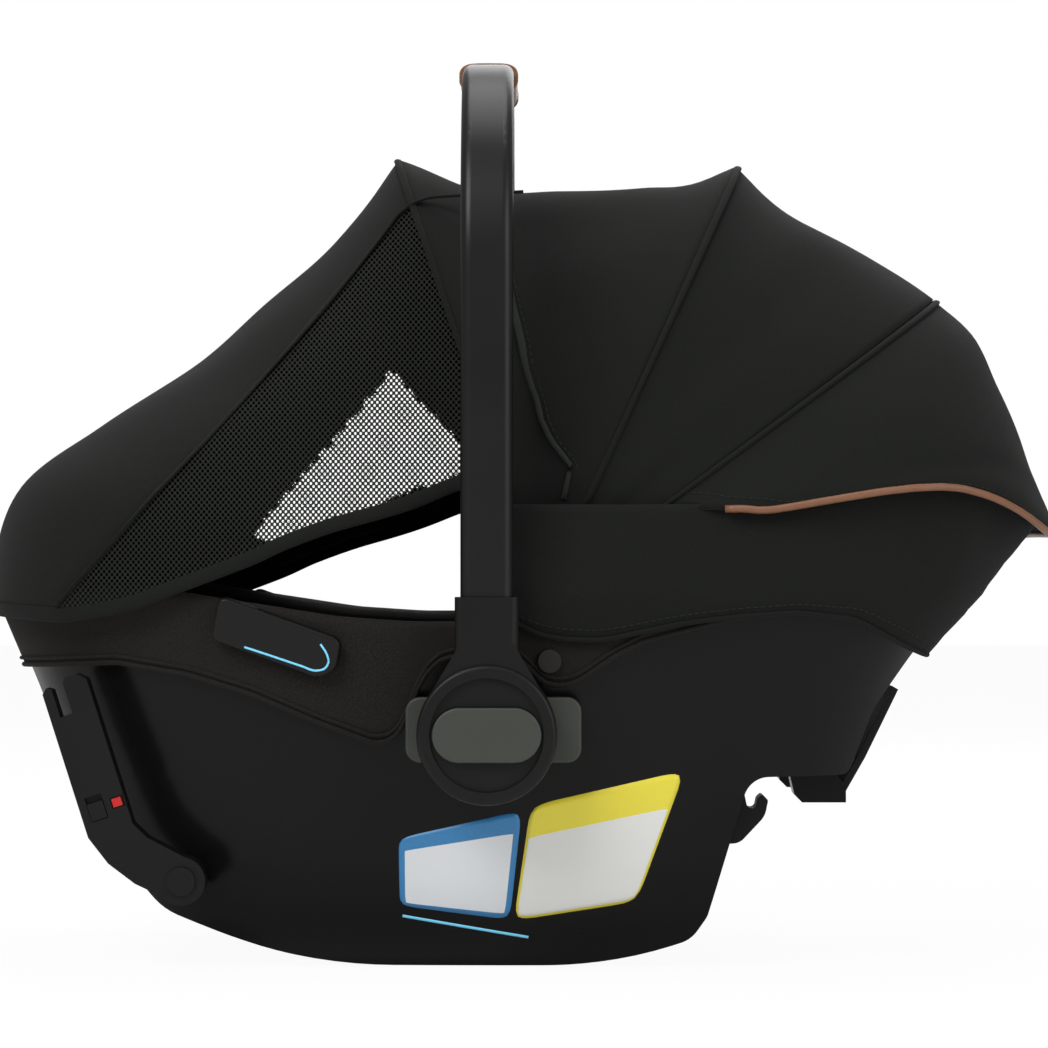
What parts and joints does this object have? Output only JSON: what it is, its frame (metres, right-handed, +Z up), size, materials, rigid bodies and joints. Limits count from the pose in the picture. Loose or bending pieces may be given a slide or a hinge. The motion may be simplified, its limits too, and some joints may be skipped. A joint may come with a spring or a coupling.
{
  "type": "infant car seat",
  "caption": "Infant carrier car seat: tub shell with lining, harness, folding carry handle, canopy with sunshade and fold-out anchor arms.",
  "frame": {"origin": "centre of the flat middle of the rocker, on the floor, in the carrier's middle plane", "axes": "+X towards the head end, +Y towards the carrier's far side in the side view, +Z up"},
  "size_m": [0.6888, 0.43, 0.5769],
  "materials": {
    "shell_black": "satin moulded, fine texture",
    "steel_zinc": "zinc plated steel",
    "foam_grey": "expanded bead foam",
    "seat_melange": "melange knit over padding",
    "canopy_green_black": "woven, matt",
    "snap_brown": "moulded snap",
    "insert_grey": "soft knit",
    "webbing_black": "woven webbing",
    "trim_black": "satin moulded",
    "buckle_red": "moulded",
    "button_grey_green": "matt moulded",
    "tube_black": "satin black oval tube",
    "leather_brown": "smooth stitched",
    "bow_wire": "flat sprung plastic bow",
    "mesh_black": "cloth with a net window",
    "indicator_red": "moulded"
  },
  "bodies": {
    "carrier": {"shell": "shell_black", "base_latch_bars": "steel_zinc", "foam_liner": "foam_grey", "seat_pad": "seat_melange", "rim_cover": "seat_melange", "head_skirt": "canopy_green_black", "skirt_snaps": "snap_brown", "infant_insert": "insert_grey", "shoulder_straps": "webbing_black", "shoulder_pads": "insert_grey", "buckle_tongues": "trim_black", "chest_clip": "trim_black", "crotch_strap": "webbing_black", "buckle": "trim_black", "harness_adjuster": "trim_black", "adjuster_strap": "webbing_black", "adapter_plate_left": "button_grey_green", "adapter_plate_right": "button_grey_green", "handle_pivots": "steel_zinc", "belt_guide_left": "trim_black", "belt_guide_right": "trim_black", "anchor_pins": "steel_zinc", "canopy_rear_bow": "bow_wire", "canopy_mounts": "trim_black", "canopy_pins": "steel_zinc", "canopy_rear_flap": "canopy_green_black", "lever_pin": "steel_zinc", "rear_feet": "shell_black", "belt_hooks": "shell_black"},
    "handle": {"handle_tube": "tube_black", "handle_grip": "leather_brown", "handle_hub_left": "trim_black", "handle_hub_right": "trim_black"},
    "canopy_middle": {"canopy_middle_bow": "bow_wire", "canopy_middle_panel": "canopy_green_black"},
    "canopy_front": {"canopy_front_bow": "bow_wire", "canopy_front_panel": "canopy_green_black", "sunshade": "mesh_black"},
    "buckle_key": {"buckle_button": "buckle_red"},
    "adjuster_key": {"adjuster_button": "button_grey_green"},
    "lever": {"release_lever": "shell_black"},
    "handle_key_left": {"handle_button_left": "button_grey_green"},
    "anchor_left": {"anchor_arm_left": "shell_black"},
    "hook_left": {"anchor_hook_left": "steel_zinc"},
    "indicator_left": {"anchor_indicator_left": "indicator_red"},
    "anchor_key_left": {"anchor_release_left": "button_grey_green"},
    "handle_key_right": {"handle_button_right": "button_grey_green"},
    "anchor_right": {"anchor_arm_right": "shell_black"},
    "hook_right": {"anchor_hook_right": "steel_zinc"},
    "indicator_right": {"anchor_indicator_right": "indicator_red"},
    "anchor_key_right": {"anchor_release_right": "button_grey_green"}
  },
  "joints": [
    {"name": "handle_fold", "type": "hinge", "parent": "carrier", "child": "handle", "pos_m": [0.0076, 0, 0.1507], "axis": [0, 1, 0], "range_deg": [0, 106]},
    {"name": "canopy_middle_fold", "type": "hinge", "parent": "carrier", "child": "canopy_middle", "pos_m": [0.043, 0, 0.236], "axis": [0, 1, 0], "range_deg": [0, 24], "deforming": ["canopy_middle_panel"]},
    {"name": "canopy_front_fold", "type": "hinge", "parent": "canopy_middle", "child": "canopy_front", "pos_m": [0.043, 0, 0.236], "axis": [0, 1, 0], "range_deg": [0, 38], "deforming": ["canopy_front_panel", "sunshade"]},
    {"name": "buckle_press", "type": "slide", "parent": "carrier", "child": "buckle_key", "axis": [0, 0, -1], "range_m": [0, 0.004], "stiffness_N_per_m": 900, "springref_m": -0.003},
    {"name": "adjuster_press", "type": "slide", "parent": "carrier", "child": "adjuster_key", "axis": [0, 0, -1], "range_m": [0, 0.002], "stiffness_N_per_m": 900, "springref_m": -0.003},
    {"name": "lever_pull", "type": "hinge", "parent": "carrier", "child": "lever", "pos_m": [0.231, 0, 0.107], "axis": [0, 1, 0], "range_deg": [0, 12], "stiffness_Nm_per_rad": 1.6, "springref_deg": -8.59},
    {"name": "handle_button_left_press", "type": "slide", "parent": "handle", "child": "handle_key_left", "axis": [0, 1, 0], "range_m": [0, 0.005], "stiffness_N_per_m": 1200, "springref_m": -0.003},
    {"name": "anchor_left_fold", "type": "hinge", "parent": "carrier", "child": "anchor_left", "pos_m": [-0.184, -0.14, 0.0565], "axis": [0, 1, 0], "range_deg": [-70, 0]},
    {"name": "hook_left_close", "type": "hinge", "parent": "anchor_left", "child": "hook_left", "pos_m": [-0.24412, -0.14, 0.1574], "axis": [0, 1, 0], "range_deg": [-24, 0]},
    {"name": "indicator_left_show", "type": "slide", "parent": "anchor_left", "child": "indicator_left", "axis": [0.9527, 0, 0.304], "range_m": [0, 0.002]},
    {"name": "anchor_key_left_press", "type": "slide", "parent": "anchor_left", "child": "anchor_key_left", "axis": [-0.304, 0, 0.9527], "range_m": [0, 0.0035], "stiffness_N_per_m": 800, "springref_m": -0.002},
    {"name": "handle_button_right_press", "type": "slide", "parent": "handle", "child": "handle_key_right", "axis": [0, -1, 0], "range_m": [0, 0.005], "stiffness_N_per_m": 1200, "springref_m": -0.003},
    {"name": "anchor_right_fold", "type": "hinge", "parent": "carrier", "child": "anchor_right", "pos_m": [-0.184, 0.14, 0.0565], "axis": [0, 1, 0], "range_deg": [-70, 0]},
    {"name": "hook_right_close", "type": "hinge", "parent": "anchor_right", "child": "hook_right", "pos_m": [-0.24412, 0.14, 0.1574], "axis": [0, 1, 0], "range_deg": [-24, 0]},
    {"name": "indicator_right_show", "type": "slide", "parent": "anchor_right", "child": "indicator_right", "axis": [0.9527, 0, 0.304], "range_m": [0, 0.002]},
    {"name": "anchor_key_right_press", "type": "slide", "parent": "anchor_right", "child": "anchor_key_right", "axis": [-0.304, 0, 0.9527], "range_m": [0, 0.0035], "stiffness_N_per_m": 800, "springref_m": -0.002}
  ],
  "couplings": [
    {"joint": "canopy_front_fold", "follows": "canopy_middle_fold", "ratio": 1.5833},
    {"joint": "indicator_left_show", "follows": "hook_left_close", "m_per_rad": -0.0045},
    {"joint": "indicator_right_show", "follows": "hook_right_close", "m_per_rad": -0.0045}
  ]
}
